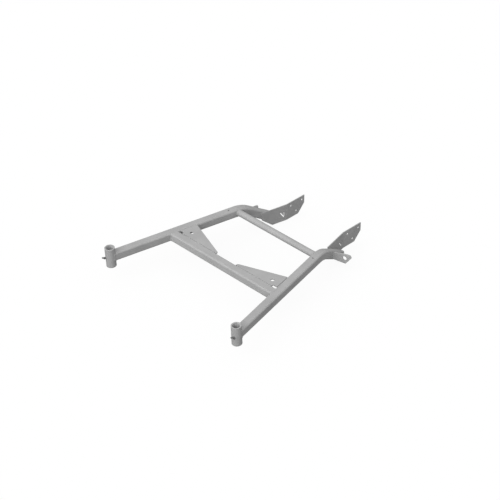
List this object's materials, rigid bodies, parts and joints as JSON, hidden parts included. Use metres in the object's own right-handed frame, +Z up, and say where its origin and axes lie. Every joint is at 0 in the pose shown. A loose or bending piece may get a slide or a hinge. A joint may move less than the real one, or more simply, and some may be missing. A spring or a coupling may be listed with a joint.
{
  "type": "caster carrier frame",
  "caption": "Welded steel front carrier frame: splayed square-tube rails with leaning caster hubs, cross tubes, corner gussets and bent rear mounting plates.",
  "frame": {"origin": "middle of the bounding box's base", "axes": "+X to the frame's right-hand side, +Y to the rear (towards the mounting plates), +Z up, square to the straight runs of the rails"},
  "size_m": [1.0398, 1.3046, 0.2217],
  "materials": {
    "frame_steel": "matte",
    "bushing_liner": "satin",
    "fitting_zinc": "satin",
    "spring_steel": "satin"
  },
  "bodies": {
    "frame": {"bushing_lower_left": "bushing_liner", "bushing_lower_right": "bushing_liner", "bushing_upper_left": "bushing_liner", "bushing_upper_right": "bushing_liner", "caster_hub_left": "frame_steel", "caster_hub_right": "frame_steel", "check_spring_left": "spring_steel", "check_spring_right": "spring_steel", "front_cross_tube": "frame_steel", "grease_fitting_left": "fitting_zinc", "grease_fitting_right": "fitting_zinc", "gusset_left": "frame_steel", "gusset_right": "frame_steel", "mounting_plate_left": "frame_steel", "mounting_plate_right": "frame_steel", "rail_left": "frame_steel", "rail_right": "frame_steel", "rear_cross_tube": "frame_steel", "side_lug_left": "frame_steel", "side_tab_right": "frame_steel"},
    "ball_right": {"check_ball_right": "spring_steel"},
    "ball_left": {"check_ball_left": "spring_steel"}
  },
  "joints": [
    {"name": "check_ball_travel_right", "type": "slide", "parent": "frame", "child": "ball_right", "axis": [0.108, 0.8355, -0.5388], "range_m": [0, 0.001], "stiffness_N_per_m": 2500, "deforming": ["check_spring_right"]},
    {"name": "check_ball_travel_left", "type": "slide", "parent": "frame", "child": "ball_left", "axis": [-0.108, 0.8355, -0.5388], "range_m": [0, 0.001], "stiffness_N_per_m": 2500, "deforming": ["check_spring_left"]}
  ]
}
